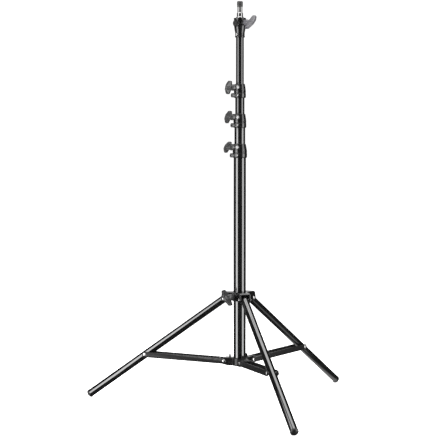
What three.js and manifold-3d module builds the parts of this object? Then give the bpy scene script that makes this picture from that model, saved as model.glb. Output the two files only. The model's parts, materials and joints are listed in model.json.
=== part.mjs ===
// Telescopic lighting stand: three risers in a base tube, on three folding legs, with a spigot on top.
// Millimetres, +Z up. The origin is the centre of the base plug's flat underside, on the column's axis.
// Heights below are measured from the floor. The finished group is lowered to put the origin in its place.
import * as THREE from 'three';
import { mergeVertices } from 'three/addons/utils/BufferGeometryUtils.js';
import Module from 'manifold-3d';

// ---------------------------------------------------------------------------------------------------------
// Driving dimensions
// ---------------------------------------------------------------------------------------------------------

const GAP = 0.3; // between pieces that touch
const WALL = 1.5; // of every tube
const BOLT_CLEARANCE = 0.3; // between a hole and the pin in it

// Column
const COLUMN_BASE_HEIGHT = 124; // underside of the base plug
const BASE_TUBE_RADIUS = 20;
const RISER_RADII = [17.5, 15, 12.7];
const RISER_LENGTH = 700;
const TUBE_SEAT = 17.5; // how far a tube's top end stands in its clamp body
const BUSH_FLANGE = 8;
const BUSH_SPIGOT = 20;
const PLUG_FLANGE = 2.7;
const PLUG_SPIGOT = 15;

// Clamps, from the lowest up: each holds the riser of the same index
const CLAMP_HEIGHT = 45.5;
const CLAMP_LINER_TOP = 33;
const CLAMP_BOLT_HEIGHT = 8.5;
const CLAMP_BOLT = { shankRadius: 3, headRadius: 7, headLength: 8.5 };
const CLAMP_KNOB_BOSS_RADIUS = 10.5;
const CLAMP_BOLT_BOSS_RADIUS = 7.5;
const CLAMP_BOSS_PROUD = 1.5; // of the clamp's widest radius
const CLAMP_KNOB_AZIMUTH = 190;
const CLAMP_PAD_AZIMUTH = 41; // from the knob's
const CLAMP_PADS = [{ height: 34.5, radius: 6.5 }, { height: 9, radius: 4 }]; // round, flat-faced
const CLAMP_PAD_PROUD = 1;
const CLAMPS = [
  { bottom: 799.5, radius: 23.4, lipRadius: 19.4, knobHeight: 34.8, knobRoll: -43 },
  { bottom: 896, radius: 20.9, lipRadius: 17.6, knobHeight: 34.8, knobRoll: -33 },
  { bottom: 992, radius: 19.5, lipRadius: 16.3, knobHeight: 33.5, knobRoll: -22 },
];

// Legs and braces. In a leg's own upright frame +X is outward from the column and +Y is sideways.
const LEGS = [
  { name: 'front', azimuth: -90, boltSide: -1 },
  { name: 'right', azimuth: 30, boltSide: -1 },
  { name: 'left', azimuth: 150, boltSide: 1 },
];
const LEG_RADIUS = 12.5;
const LEG_APEX_HEIGHT = 379; // where the three leg axes would meet on the column's axis
const FOOT_CIRCLE_RADIUS = 510;
const FOOT_HEIGHT = 12; // centre of the foot cap's rim
const FOOT_CAP_RADIUS = 13.3;
const FOOT_RIM = 3;
const FOOT_DOME = 8;
const FOOT_SPIGOT = 25;
const LEG_HEAD = 6; // leg tube beyond its pivot
const PIVOT_RADIUS = 49; // leg and brace pivots, from the column's axis
const BRACE_PIVOT_HEIGHT = 139.4; // at the spider
const BRACE_BOLT_RADIUS = 316; // at the leg, from the column's axis
const BRACE_INNER = 15.5; // half the space between a brace's two bars
const BRACE_WALL = 2;
const BRACE_HALF_HEIGHT = 9;
const BRACE_BRIDGE = [13, 19.5]; // the plate that joins the bars: its start and end, from the spider pivot
const PIN_RADIUS = 4;
const RIVET_HEAD = { radius: 5.8, dome: 2.8, crownRadius: 3.8, rim: 1.2 };
const BRACE_BOLT_HEAD = { radius: 6, length: 3 };
const BRACE_NUT = { radius: 6.5, length: 4 };
const LEG_BUSH_WALL = 1.5;

// Lower spider
const SPIDER_BOTTOM = 125.5;
const SPIDER_TOP = 150.5;
const SPIDER_RADIUS = 25.5;
const ARM_HALF_WIDTH = 14.5;
const ARM_TONGUE_RADIUS = 11;
const ARM_SIDE_HOLE = { x: 33.4, z: 137, radius: 2, depth: 3 };
const ARM_TOP = 151.2;
const STOP_PEG = { near: 30, far: 34.5, halfWidth: 4.5, top: 161.3 };

// Upper collar
const COLLAR_BOTTOM = 336.2;
const COLLAR_TOP = 363;
const COLLAR_RADIUS = 27;
const LINER_WALL = 1.7;
const LUG_TOP = 366;
const LUG_ROOF = 359.2;
const LUG_REACH = 56;
const EAR_INNER = 13.3;
const EAR_OUTER = 18.8;
const COLLAR_KNOB_AZIMUTH = 210;
const COLLAR_KNOB_HEIGHT = 351;
const COLLAR_KNOB_ROLL = 35;
const COLLAR_BOSS_RADIUS = 11;
const COLLAR_BOSS_REACH = 37;

// Head and spigot
const HEAD_BOTTOM = 1185.6;
const HEAD_TOP = 1247.6;
const HEAD_BORE = 8.3;
const HEAD_BORE_BOTTOM = 1218.5;
const HEAD_PLUG_AZIMUTH = 210;
const HEAD_PLUG_HEIGHT = 1230.6;
const HEAD_PLUG = { radius: 8, bossRadius: 11.5, seat: 16.5, proud: 0.6 };
const HEAD_LEVER_AZIMUTH = 300;
const HEAD_LEVER_HEIGHT = 1232.5;
const HEAD_LEVER_ROLL = -43;
const HEAD_LEVER_BOSS_RADIUS = 9.5;
const HEAD_BOSS_REACH = 21.5;
const HEAD_SCREW_HEIGHT = 1195;
const HEAD_SCREW = { tip: 13.2, seat: 16, shankRadius: 2, headRadius: 4, headLength: 2 };
const RISER_IN_HEAD = 28.5; // how far the top riser stands in the head
const SPIGOT_RADIUS = 8;
const SPIGOT_FLANGE_RADIUS = 12.2;
const SPIGOT_SHOULDER = 1252.4;
const SPIGOT_BODY_RADIUS = 10;
const SPIGOT_BODY_TOP = 1263;
const SPIGOT_COLLAR_RADIUS = 9.2;
const SPIGOT_STEM_TOP = 1283.5;
const SPIGOT_CAP_TOP = 1301.5;
const SPIGOT_CAP_RADIUS = 9.3;
const STUD_RADIUS = 4.8;

// Wing knobs: the clamps carry the small size, the collar and the head the large one
const WING_INNER_EDGE = [[8.5, 0], [8.5, 7], [11.5, 19.5], [12.8, 21]]; // [out, up] from the knob's seat
const WING_RIDGE = [[16.5, 0], [16.5, 20.4]];
const WING_OUTER_EDGE = [[14.5, 21.5], [22.8, 21.5], [24.8, 20], [30.2, 7.5], [31, 0]];
const WING_INNER_SHARE = 0.2; // of the ridge's thickness
const WING_OUTER_SHARE = 0.75;
const SMALL_KNOB = { scale: 1, hubRadius: 10.5, thickness: 8.5 };
const LARGE_KNOB = { scale: 1.27, hubRadius: 10.5, thickness: 9 };
const HEAD_LEVER = { scale: 1.27, hubRadius: 9.5, thickness: 9 };
const SCREW_GRIP = 8; // how deep a lock screw stands in its knob

// Sides of each kind of round
const TUBE_SIDES = 24;
const BODY_SIDES = 24;
const SMALL_SIDES = 20;
const BOSS_SIDES = 16;
const PIN_SIDES = 10;

// ---------------------------------------------------------------------------------------------------------
// Shape helpers
// ---------------------------------------------------------------------------------------------------------

const wasm = await Module();
wasm.setup();

const radians = THREE.MathUtils.degToRad;

function toSolid(geometry) {
  const bare = geometry.clone();
  bare.deleteAttribute('normal');
  bare.deleteAttribute('uv');
  const merged = mergeVertices(bare, 1e-3);
  return new wasm.Manifold(new wasm.Mesh({
    numProp: 3,
    vertProperties: merged.attributes.position.array,
    triVerts: new Uint32Array(merged.index.array),
  }));
}

function toGeometry(solid) {
  const mesh = solid.getMesh();
  const geometry = new THREE.BufferGeometry();
  geometry.setAttribute('position', new THREE.BufferAttribute(mesh.vertProperties, 3));
  geometry.setIndex(new THREE.BufferAttribute(mesh.triVerts, 1));
  geometry.computeVertexNormals();
  return geometry;
}

function join(...geometries) {
  return toGeometry(geometries.map(toSolid).reduce((whole, piece) => whole.add(piece)));
}

function cut(geometry, ...tools) {
  return toGeometry(tools.map(toSolid).reduce((whole, tool) => whole.subtract(tool), toSolid(geometry)));
}

// Revolves [radius, height] points about Z. They run up the outside, so that the faces point out.
function turned(points, sides) {
  const profile = points.map(([radius, height]) => new THREE.Vector2(radius, height));
  return new THREE.LatheGeometry(profile, sides).rotateX(Math.PI / 2);
}

function ring(outer, inner, low, high, sides) {
  return turned([[inner, low], [outer, low], [outer, high], [inner, high], [inner, low]], sides);
}

// A cylinder about Z.
function post(radius, low, high, sides = PIN_SIDES) {
  return turned([[0, low], [radius, low], [radius, high], [0, high]], sides);
}

// Turns a piece that was made about Z to lie along X, or along Y.
const alongX = (geometry) => geometry.rotateY(Math.PI / 2);
const alongY = (geometry) => geometry.rotateX(-Math.PI / 2);

function box([x0, x1], [y0, y1], [z0, z1]) {
  const geometry = new THREE.BoxGeometry(x1 - x0, y1 - y0, z1 - z0);
  return geometry.translate((x0 + x1) / 2, (y0 + y1) / 2, (z0 + z1) / 2);
}

// A plate whose outline lies in X and Z, and whose thickness runs along Y.
function sidePlate(outline, y0, y1, curveSegments = 5) {
  const settings = { depth: y1 - y0, bevelEnabled: false, curveSegments };
  return new THREE.ExtrudeGeometry(outline, settings).translate(0, 0, -y1).rotateX(Math.PI / 2);
}

// A pin along Y with a domed head at each end.
function rivet(reach) {
  const { radius, dome, crownRadius, rim } = RIVET_HEAD;
  return alongY(turned([
    [0, -reach - dome], [crownRadius, -reach - dome], [radius, -reach - rim], [radius, -reach],
    [PIN_RADIUS, -reach], [PIN_RADIUS, reach],
    [radius, reach], [radius, reach + rim], [crownRadius, reach + dome], [0, reach + dome],
  ], PIN_SIDES));
}

// A round-headed screw along X: its shank starts at x = tip and its head sits on x = seat.
function screw({ tip, seat, shankRadius, headRadius, headLength }) {
  const crown = headLength * 0.35;
  return alongX(turned([
    [0, tip], [shankRadius, tip], [shankRadius, seat], [headRadius, seat],
    [headRadius, seat + headLength - crown], [headRadius * 0.72, seat + headLength], [0, seat + headLength],
  ], PIN_SIDES));
}

// One wing of a knob, above the hub's axis for side 1 and below it for side -1.
function wing(scale, thickness, side) {
  const both = (edge, share) => edge.flatMap(([x, z]) =>
    [-1, 1].map((face) => [x * scale, face * share * thickness / 2, z * scale * side]));
  return toGeometry(wasm.Manifold.hull([
    ...both(WING_INNER_EDGE, WING_INNER_SHARE),
    ...both(WING_RIDGE, 1),
    ...both(WING_OUTER_EDGE, WING_OUTER_SHARE),
  ]));
}

// A hub along +X from x = 0, with two wings that spread up and down, and a blind socket for its lock screw.
function wingKnob({ scale, hubRadius, thickness }) {
  const hub = alongX(turned([
    [0, 0], [hubRadius - 1, 0], [hubRadius, 1], [hubRadius, 9.5 * scale],
    [hubRadius * 0.72, 15 * scale], [hubRadius * 0.6, 26 * scale], [0, 27 * scale],
  ], BOSS_SIDES));
  const socket = alongX(post(PIN_RADIUS + GAP, -1, SCREW_GRIP));
  return cut(join(hub, wing(scale, thickness, 1), wing(scale, thickness, -1)), socket);
}

// A lock screw runs from near the tube it presses on to inside its knob's hub.
function lockScrew(start) {
  return alongX(post(PIN_RADIUS, start, SCREW_GRIP - GAP));
}

// ---------------------------------------------------------------------------------------------------------
// Finishes
// ---------------------------------------------------------------------------------------------------------

const finish = (color, roughness, metalness) => () =>
  new THREE.MeshStandardMaterial({ color, roughness, metalness });

const blackTube = finish(0x121214, 0.28, 0.6);
const blackCasting = finish(0x1b1b1d, 0.5, 0.4);
const greyPlastic = finish(0x5c5c5e, 0.55, 0);
const blackPlastic = finish(0x161616, 0.5, 0);
const brightSteel = finish(0xc9c9c7, 0.25, 1);
const rubber = finish(0x101010, 0.8, 0);
const spigotMetal = finish(0xb9b9b6, 0.22, 1);

// ---------------------------------------------------------------------------------------------------------
// Scene graph
// ---------------------------------------------------------------------------------------------------------

const stand = new THREE.Group();
stand.position.z = -COLUMN_BASE_HEIGHT;

function add(parent, name, geometry, newMaterial) {
  const mesh = new THREE.Mesh(geometry, newMaterial());
  mesh.name = name;
  parent.add(mesh);
}

// A frame on the column's axis whose +X points outward at an azimuth.
function spoke(azimuth, height = 0) {
  const frame = new THREE.Group();
  frame.position.z = height;
  frame.rotation.z = radians(azimuth);
  stand.add(frame);
  return frame;
}

// A frame at a distance out along a spoke, tipped down by an angle in degrees about its +Y.
function pivot(parent, x, z, tipDown) {
  const frame = new THREE.Group();
  frame.position.set(x, 0, z);
  frame.rotation.y = radians(tipDown);
  parent.add(frame);
  return frame;
}

// ---------------------------------------------------------------------------------------------------------
// Base tube, spider and collar
// ---------------------------------------------------------------------------------------------------------

function basePlug() {
  const low = COLUMN_BASE_HEIGHT;
  const seat = low + PLUG_FLANGE;
  const spigot = BASE_TUBE_RADIUS - WALL - GAP;
  const cup = spigot - 3;
  return turned([
    [0, low], [BASE_TUBE_RADIUS - 1, low], [BASE_TUBE_RADIUS, low + 1], [BASE_TUBE_RADIUS, seat],
    [spigot, seat], [spigot, seat + PLUG_SPIGOT], [cup, seat + PLUG_SPIGOT], [cup, seat + 2], [0, seat + 2],
  ], TUBE_SIDES);
}

function addBaseTube() {
  const low = COLUMN_BASE_HEIGHT + PLUG_FLANGE + GAP;
  const high = CLAMPS[0].bottom + TUBE_SEAT;
  add(stand, 'base_tube', ring(BASE_TUBE_RADIUS, BASE_TUBE_RADIUS - WALL, low, high, TUBE_SIDES), blackTube);
  add(stand, 'base_plug', basePlug(), blackPlastic);
}

// Turns a piece from a leg's upright frame to that leg's azimuth.
const toAzimuth = (geometry, azimuth) => geometry.rotateZ(radians(azimuth));

function spiderArm() {
  const tongueRadius = ARM_TONGUE_RADIUS;
  const sideHole = ARM_SIDE_HOLE;
  const outline = new THREE.Shape();
  outline.moveTo(10, SPIDER_BOTTOM);
  outline.lineTo(PIVOT_RADIUS - tongueRadius, SPIDER_BOTTOM);
  outline.lineTo(PIVOT_RADIUS, BRACE_PIVOT_HEIGHT - tongueRadius);
  outline.absarc(PIVOT_RADIUS, BRACE_PIVOT_HEIGHT, tongueRadius, -Math.PI / 2, Math.PI / 2, false);
  outline.lineTo(PIVOT_RADIUS - 2, ARM_TOP);
  outline.lineTo(10, ARM_TOP);
  const arm = sidePlate(outline, -ARM_HALF_WIDTH, ARM_HALF_WIDTH, 6);
  const { near, far, halfWidth, top } = STOP_PEG;
  const peg = box([near, far], [-halfWidth, halfWidth], [ARM_TOP - 2, top]);
  const holes = [-1, 1].map((side) => alongY(post(sideHole.radius, 0, 2 * sideHole.depth))
    .translate(sideHole.x, side * ARM_HALF_WIDTH - sideHole.depth, sideHole.z));
  const pinHole = alongY(post(PIN_RADIUS + BOLT_CLEARANCE, -ARM_HALF_WIDTH - 1, ARM_HALF_WIDTH + 1))
    .translate(PIVOT_RADIUS, 0, BRACE_PIVOT_HEIGHT);
  return cut(join(arm, peg), pinHole, ...holes);
}

function lowerSpider() {
  const edge = 1.5;
  const hub = turned([
    [0, SPIDER_BOTTOM], [SPIDER_RADIUS - edge, SPIDER_BOTTOM], [SPIDER_RADIUS, SPIDER_BOTTOM + edge],
    [SPIDER_RADIUS, SPIDER_TOP - edge], [SPIDER_RADIUS - edge, SPIDER_TOP], [0, SPIDER_TOP],
  ], BODY_SIDES);
  const arms = LEGS.map(({ azimuth }) => toAzimuth(spiderArm(), azimuth));
  const bore = post(BASE_TUBE_RADIUS + GAP, SPIDER_BOTTOM - 1, ARM_TOP + 1, TUBE_SIDES);
  return cut(join(hub, ...arms), bore);
}

// A hood over the leg's head: two ears, a roof that stops the leg, and a back wall.
function collarLug() {
  const pivotHeight = legHeightAt(PIVOT_RADIUS);
  const earRadius = 10;
  const outline = new THREE.Shape();
  outline.moveTo(10, COLLAR_BOTTOM + 3);
  outline.lineTo(PIVOT_RADIUS - earRadius, COLLAR_BOTTOM + 1);
  outline.absarc(PIVOT_RADIUS, pivotHeight, earRadius, radians(215), radians(355), false);
  outline.lineTo(LUG_REACH, LUG_ROOF);
  outline.lineTo(LUG_REACH - 2, LUG_TOP);
  outline.lineTo(10, LUG_TOP);
  const block = sidePlate(outline, -EAR_OUTER, EAR_OUTER, 6);
  const clearOfLegHead = 1;
  const backWall = PIVOT_RADIUS - Math.hypot(LEG_HEAD, LEG_RADIUS) - clearOfLegHead;
  const slot = box([backWall, LUG_REACH + 10], [-EAR_INNER, EAR_INNER], [COLLAR_BOTTOM - 20, LUG_ROOF]);
  const pinHole = alongY(post(PIN_RADIUS + BOLT_CLEARANCE, -EAR_OUTER - 1, EAR_OUTER + 1))
    .translate(PIVOT_RADIUS, 0, pivotHeight);
  return cut(block, slot, pinHole);
}

function upperCollar() {
  const edge = 3;
  const boreRadius = BASE_TUBE_RADIUS + GAP + LINER_WALL + GAP;
  const sleeve = turned([
    [0, COLLAR_BOTTOM], [COLLAR_RADIUS - edge, COLLAR_BOTTOM], [COLLAR_RADIUS, COLLAR_BOTTOM + edge],
    [COLLAR_RADIUS, COLLAR_TOP - 1], [COLLAR_RADIUS - 1, COLLAR_TOP], [0, COLLAR_TOP],
  ], BODY_SIDES);
  const boss = alongX(post(COLLAR_BOSS_RADIUS, 10, COLLAR_BOSS_REACH, BOSS_SIDES))
    .translate(0, 0, COLLAR_KNOB_HEIGHT);
  const lugs = LEGS.map(({ azimuth }) => toAzimuth(collarLug(), azimuth));
  const bore = post(boreRadius, COLLAR_BOTTOM - 1, LUG_TOP + 1, TUBE_SIDES);
  const screwHole = alongX(post(PIN_RADIUS + BOLT_CLEARANCE, boreRadius - 1, COLLAR_BOSS_REACH + 1))
    .translate(0, 0, COLLAR_KNOB_HEIGHT);
  return cut(
    join(sleeve, toAzimuth(boss, COLLAR_KNOB_AZIMUTH), ...lugs),
    bore,
    toAzimuth(screwHole, COLLAR_KNOB_AZIMUTH),
  );
}

function addCollar() {
  const linerInner = BASE_TUBE_RADIUS + GAP;
  const linerOuter = linerInner + LINER_WALL;
  add(stand, 'upper_collar', upperCollar(), blackCasting);
  const liner = ring(linerOuter, linerInner, COLLAR_BOTTOM + 1, COLLAR_TOP - 0.5, TUBE_SIDES);
  add(stand, 'collar_liner', liner, blackPlastic);
  const frame = spoke(COLLAR_KNOB_AZIMUTH, COLLAR_KNOB_HEIGHT);
  const knobFrame = pivot(frame, COLLAR_BOSS_REACH + GAP, 0, 0);
  knobFrame.rotation.x = radians(COLLAR_KNOB_ROLL);
  const screwStart = linerOuter + 2 * GAP - COLLAR_BOSS_REACH;
  add(knobFrame, 'collar_knob', wingKnob(LARGE_KNOB), greyPlastic);
  add(knobFrame, 'collar_screw', lockScrew(screwStart), brightSteel);
}

// ---------------------------------------------------------------------------------------------------------
// Legs and braces
// ---------------------------------------------------------------------------------------------------------

// Height of a leg's axis at a distance from the column's axis.
function legHeightAt(radius) {
  return LEG_APEX_HEIGHT - radius * (LEG_APEX_HEIGHT - FOOT_HEIGHT) / FOOT_CIRCLE_RADIUS;
}

function legTube(length, boltAt) {
  const hole = PIN_RADIUS + BOLT_CLEARANCE;
  const tube = alongX(ring(LEG_RADIUS, LEG_RADIUS - WALL, -LEG_HEAD, length - FOOT_RIM - GAP, TUBE_SIDES));
  const pinHole = alongY(post(hole, -LEG_RADIUS - 1, LEG_RADIUS + 1));
  const bushHole = alongY(post(hole + LEG_BUSH_WALL + 2 * GAP, -LEG_RADIUS - 1, LEG_RADIUS + 1));
  return cut(tube, pinHole, bushHole.translate(boltAt, 0, 0));
}

function footCap() {
  const rim = FOOT_CAP_RADIUS;
  return alongX(turned([
    [0, -FOOT_SPIGOT], [LEG_RADIUS - WALL - GAP, -FOOT_SPIGOT], [LEG_RADIUS - WALL - GAP, -FOOT_RIM],
    [rim, -FOOT_RIM], [rim, 0], [rim * 0.92, FOOT_DOME * 0.42], [rim * 0.7, FOOT_DOME * 0.78],
    [rim * 0.38, FOOT_DOME * 0.96], [0, FOOT_DOME],
  ], SMALL_SIDES));
}

// Two flat bars with round ends, joined near the spider pivot. The leg folds in between them.
function brace(length) {
  const outline = new THREE.Shape();
  outline.absarc(0, 0, BRACE_HALF_HEIGHT, Math.PI / 2, 1.5 * Math.PI, false);
  outline.absarc(length, 0, BRACE_HALF_HEIGHT, -Math.PI / 2, Math.PI / 2, false);
  const outer = BRACE_INNER + BRACE_WALL;
  const bars = join(
    sidePlate(outline, BRACE_INNER, outer, 7),
    sidePlate(outline, -outer, -BRACE_INNER, 7),
    box(BRACE_BRIDGE, [-outer, outer], [BRACE_HALF_HEIGHT - BRACE_WALL, BRACE_HALF_HEIGHT]),
  );
  const holes = [0, length].map((x) =>
    alongY(post(PIN_RADIUS + BOLT_CLEARANCE, -outer - 1, outer + 1)).translate(x, 0, 0));
  return cut(bars, ...holes);
}

// The half of the leg bolt that stands on one side of the brace: a short shank and a head or a nut.
function boltHalf(side, { radius, length }, headSides) {
  const seat = BRACE_INNER + BRACE_WALL + GAP;
  const head = turned([
    [0, seat], [radius, seat], [radius, seat + 0.55 * length], [radius * 0.66, seat + length],
    [0, seat + length],
  ], headSides);
  const half = join(head, post(PIN_RADIUS, BRACE_INNER, seat + 1));
  return side > 0 ? alongY(half) : half.rotateX(Math.PI / 2);
}

function addLeg({ name, azimuth, boltSide }) {
  const frame = spoke(azimuth);
  const slope = Math.atan2(LEG_APEX_HEIGHT - FOOT_HEIGHT, FOOT_CIRCLE_RADIUS);
  const legPivotHeight = legHeightAt(PIVOT_RADIUS);
  const legLength = (FOOT_CIRCLE_RADIUS - PIVOT_RADIUS) / Math.cos(slope);
  const boltAt = (BRACE_BOLT_RADIUS - PIVOT_RADIUS) / Math.cos(slope);
  const legFrame = pivot(frame, PIVOT_RADIUS, legPivotHeight, THREE.MathUtils.radToDeg(slope));
  add(legFrame, `${name}_leg_tube`, legTube(legLength, boltAt), blackTube);
  const cap = footCap().translate(legLength, 0, 0);
  add(legFrame, `${name}_foot_cap`, cap, rubber);
  add(legFrame, `${name}_leg_rivet`, rivet(EAR_OUTER + GAP), brightSteel);
  const bushInner = PIN_RADIUS + BOLT_CLEARANCE;
  const bushEnd = LEG_RADIUS - 0.5;
  const bush = alongY(ring(bushInner + LEG_BUSH_WALL, bushInner, -bushEnd, bushEnd, PIN_SIDES));
  add(legFrame, `${name}_leg_bush`, bush.translate(boltAt, 0, 0), brightSteel);

  const run = BRACE_BOLT_RADIUS - PIVOT_RADIUS;
  const rise = legHeightAt(BRACE_BOLT_RADIUS) - BRACE_PIVOT_HEIGHT;
  const braceLength = Math.hypot(run, rise);
  const riseAngle = THREE.MathUtils.radToDeg(Math.atan2(rise, run));
  const braceFrame = pivot(frame, PIVOT_RADIUS, BRACE_PIVOT_HEIGHT, -riseAngle);
  add(braceFrame, `${name}_brace`, brace(braceLength), blackCasting);
  add(braceFrame, `${name}_spider_rivet`, rivet(BRACE_INNER + BRACE_WALL + GAP), brightSteel);
  const head = boltHalf(boltSide, BRACE_BOLT_HEAD, PIN_SIDES).translate(braceLength, 0, 0);
  add(braceFrame, `${name}_brace_bolt`, head, brightSteel);
  const nut = boltHalf(-boltSide, BRACE_NUT, 6).translate(braceLength, 0, 0);
  add(braceFrame, `${name}_brace_nut`, nut, brightSteel);
}

// ---------------------------------------------------------------------------------------------------------
// Clamps and risers
// ---------------------------------------------------------------------------------------------------------

function clampPad({ height, radius }, clampRadius) {
  const pad = alongX(post(radius, clampRadius / 2, clampRadius + CLAMP_PAD_PROUD, BOSS_SIDES));
  return toAzimuth(pad.translate(0, 0, height), CLAMP_PAD_AZIMUTH);
}

// A clamp body stands on the end of the lower tube. Its thin top lip is bored for the riser.
function clampBody({ radius, lipRadius, knobHeight }, lowerRadius, riserRadius) {
  const reach = radius + CLAMP_BOSS_PROUD;
  const shoulderRadius = radius - 0.3 * (radius - lipRadius);
  const body = turned([
    [0, 0], [radius - 2, 0], [radius, 3], [radius, 19],
    [shoulderRadius, 30], [lipRadius, CLAMP_HEIGHT - 1],
    [lipRadius - 0.6, CLAMP_HEIGHT], [0, CLAMP_HEIGHT],
  ], BODY_SIDES);
  const knobBoss = alongX(post(CLAMP_KNOB_BOSS_RADIUS, 5, reach, BOSS_SIDES));
  const boltBoss = alongX(post(CLAMP_BOLT_BOSS_RADIUS, 5, reach, BOSS_SIDES));
  const bosses = join(
    knobBoss.translate(0, 0, knobHeight),
    boltBoss.translate(0, 0, CLAMP_BOLT_HEIGHT),
    ...CLAMP_PADS.map((pad) => clampPad(pad, radius)),
  );
  const seat = lowerRadius + GAP;
  const lowerBore = post(seat, -1, CLAMP_LINER_TOP, TUBE_SIDES);
  const riserBore = post(riserRadius + GAP, -1, CLAMP_HEIGHT + 1, TUBE_SIDES);
  const knobHole = alongX(post(PIN_RADIUS + BOLT_CLEARANCE, seat, reach + 1))
    .translate(0, 0, knobHeight);
  const boltHole = alongX(post(CLAMP_BOLT.shankRadius + BOLT_CLEARANCE, seat - 1, reach + 1))
    .translate(0, 0, CLAMP_BOLT_HEIGHT);
  return cut(join(body, bosses), lowerBore, riserBore, knobHole, boltHole);
}

// Plugs the riser's lower end and guides it in the tube outside it.
function riserBush(outerTubeRadius, riserRadius) {
  const flange = outerTubeRadius - WALL - GAP;
  const spigot = riserRadius - WALL - GAP;
  const bore = spigot - 3;
  return turned([
    [bore, -BUSH_FLANGE], [flange - 1, -BUSH_FLANGE], [flange, 1 - BUSH_FLANGE], [flange, -GAP],
    [spigot, -GAP], [spigot, BUSH_SPIGOT], [bore, BUSH_SPIGOT], [bore, -BUSH_FLANGE],
  ], TUBE_SIDES);
}

function riserTop(index) {
  const nextClamp = CLAMPS[index + 1];
  return nextClamp ? nextClamp.bottom + TUBE_SEAT : HEAD_BOTTOM + RISER_IN_HEAD;
}

function addRiser(index) {
  const number = index + 2;
  const clamp = CLAMPS[index];
  const riserRadius = RISER_RADII[index];
  const outerRadius = index ? RISER_RADII[index - 1] : BASE_TUBE_RADIUS;
  const high = riserTop(index);
  const low = high - RISER_LENGTH;
  const tube = ring(riserRadius, riserRadius - WALL, low, high, TUBE_SIDES);
  add(stand, `riser_${number}_tube`, tube, blackTube);
  add(stand, `riser_${number}_bush`, riserBush(outerRadius, riserRadius).translate(0, 0, low), blackPlastic);

  const frame = spoke(CLAMP_KNOB_AZIMUTH, clamp.bottom);
  const reach = clamp.radius + CLAMP_BOSS_PROUD;
  const name = `clamp_${index + 1}`;
  add(frame, `${name}_body`, clampBody(clamp, outerRadius, riserRadius), blackCasting);
  const linerBottom = TUBE_SEAT + GAP;
  const liner = ring(outerRadius, riserRadius + GAP, linerBottom, CLAMP_LINER_TOP - GAP, TUBE_SIDES);
  add(frame, `${name}_liner`, liner, blackPlastic);
  const bolt = screw({ tip: outerRadius + 2 * GAP, seat: reach + GAP, ...CLAMP_BOLT })
    .translate(0, 0, CLAMP_BOLT_HEIGHT);
  add(frame, `${name}_bolt`, bolt, blackCasting);
  const knobFrame = pivot(frame, reach + GAP, clamp.knobHeight, 0);
  knobFrame.rotation.x = radians(clamp.knobRoll);
  add(knobFrame, `${name}_knob`, wingKnob(SMALL_KNOB), greyPlastic);
  add(knobFrame, `${name}_screw`, lockScrew(outerRadius + 2 * GAP - reach), brightSteel);
}

// ---------------------------------------------------------------------------------------------------------
// Head and spigot
// ---------------------------------------------------------------------------------------------------------

function headCasting() {
  const riserRadius = RISER_RADII[2];
  const body = turned([
    [0, HEAD_BOTTOM], [16, HEAD_BOTTOM], [16, HEAD_BOTTOM + 4],
    [15.2, HEAD_BOTTOM + 5], [15.4, HEAD_BOTTOM + 15], [17.6, HEAD_BOTTOM + 26],
    [19, HEAD_TOP - 5], [19.8, HEAD_TOP - 4], [19.8, HEAD_TOP - 0.6], [19.2, HEAD_TOP], [0, HEAD_TOP],
  ], BODY_SIDES);
  const plugBoss = alongX(post(HEAD_PLUG.bossRadius, 5, HEAD_BOSS_REACH, SMALL_SIDES))
    .translate(0, 0, HEAD_PLUG_HEIGHT);
  const leverBoss = alongX(post(HEAD_LEVER_BOSS_RADIUS, 5, HEAD_BOSS_REACH, BOSS_SIDES))
    .translate(0, 0, HEAD_LEVER_HEIGHT);
  const riserSocket = post(riserRadius + GAP, HEAD_BOTTOM - 1, riserTop(2) + GAP, TUBE_SIDES);
  const spigotBore = post(HEAD_BORE, HEAD_BORE_BOTTOM, HEAD_TOP + 1, SMALL_SIDES);
  const plugRecess = alongX(post(HEAD_PLUG.radius, HEAD_PLUG.seat, HEAD_BOSS_REACH + 1, BOSS_SIDES))
    .translate(0, 0, HEAD_PLUG_HEIGHT);
  const leverHole = alongX(post(PIN_RADIUS + BOLT_CLEARANCE, 6, HEAD_BOSS_REACH + 1))
    .translate(0, 0, HEAD_LEVER_HEIGHT);
  const screwHole = alongX(post(HEAD_SCREW.shankRadius + BOLT_CLEARANCE, riserRadius, HEAD_SCREW.seat + 1))
    .translate(0, 0, HEAD_SCREW_HEIGHT);
  return cut(
    join(body, toAzimuth(plugBoss, HEAD_PLUG_AZIMUTH), toAzimuth(leverBoss, HEAD_LEVER_AZIMUTH)),
    riserSocket,
    spigotBore,
    toAzimuth(plugRecess, HEAD_PLUG_AZIMUTH),
    toAzimuth(leverHole, HEAD_LEVER_AZIMUTH),
    toAzimuth(screwHole, HEAD_PLUG_AZIMUTH),
  );
}

function spigot() {
  const low = HEAD_BORE_BOTTOM + GAP;
  const seat = HEAD_TOP + GAP;
  const studTop = SPIGOT_CAP_TOP - 5;
  return turned([
    [0, low], [SPIGOT_RADIUS, low], [SPIGOT_RADIUS, seat], [SPIGOT_FLANGE_RADIUS, seat],
    [SPIGOT_FLANGE_RADIUS, SPIGOT_SHOULDER - 0.5], [SPIGOT_FLANGE_RADIUS - 0.5, SPIGOT_SHOULDER],
    [SPIGOT_BODY_RADIUS, SPIGOT_SHOULDER], [SPIGOT_BODY_RADIUS, SPIGOT_BODY_TOP],
    [SPIGOT_COLLAR_RADIUS, SPIGOT_BODY_TOP + 0.8], [SPIGOT_COLLAR_RADIUS, SPIGOT_BODY_TOP + 2.6],
    [SPIGOT_RADIUS, SPIGOT_BODY_TOP + 3.6], [SPIGOT_RADIUS, SPIGOT_STEM_TOP], [STUD_RADIUS, SPIGOT_STEM_TOP],
    [STUD_RADIUS, studTop], [0, studTop],
  ], SMALL_SIDES);
}

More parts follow.
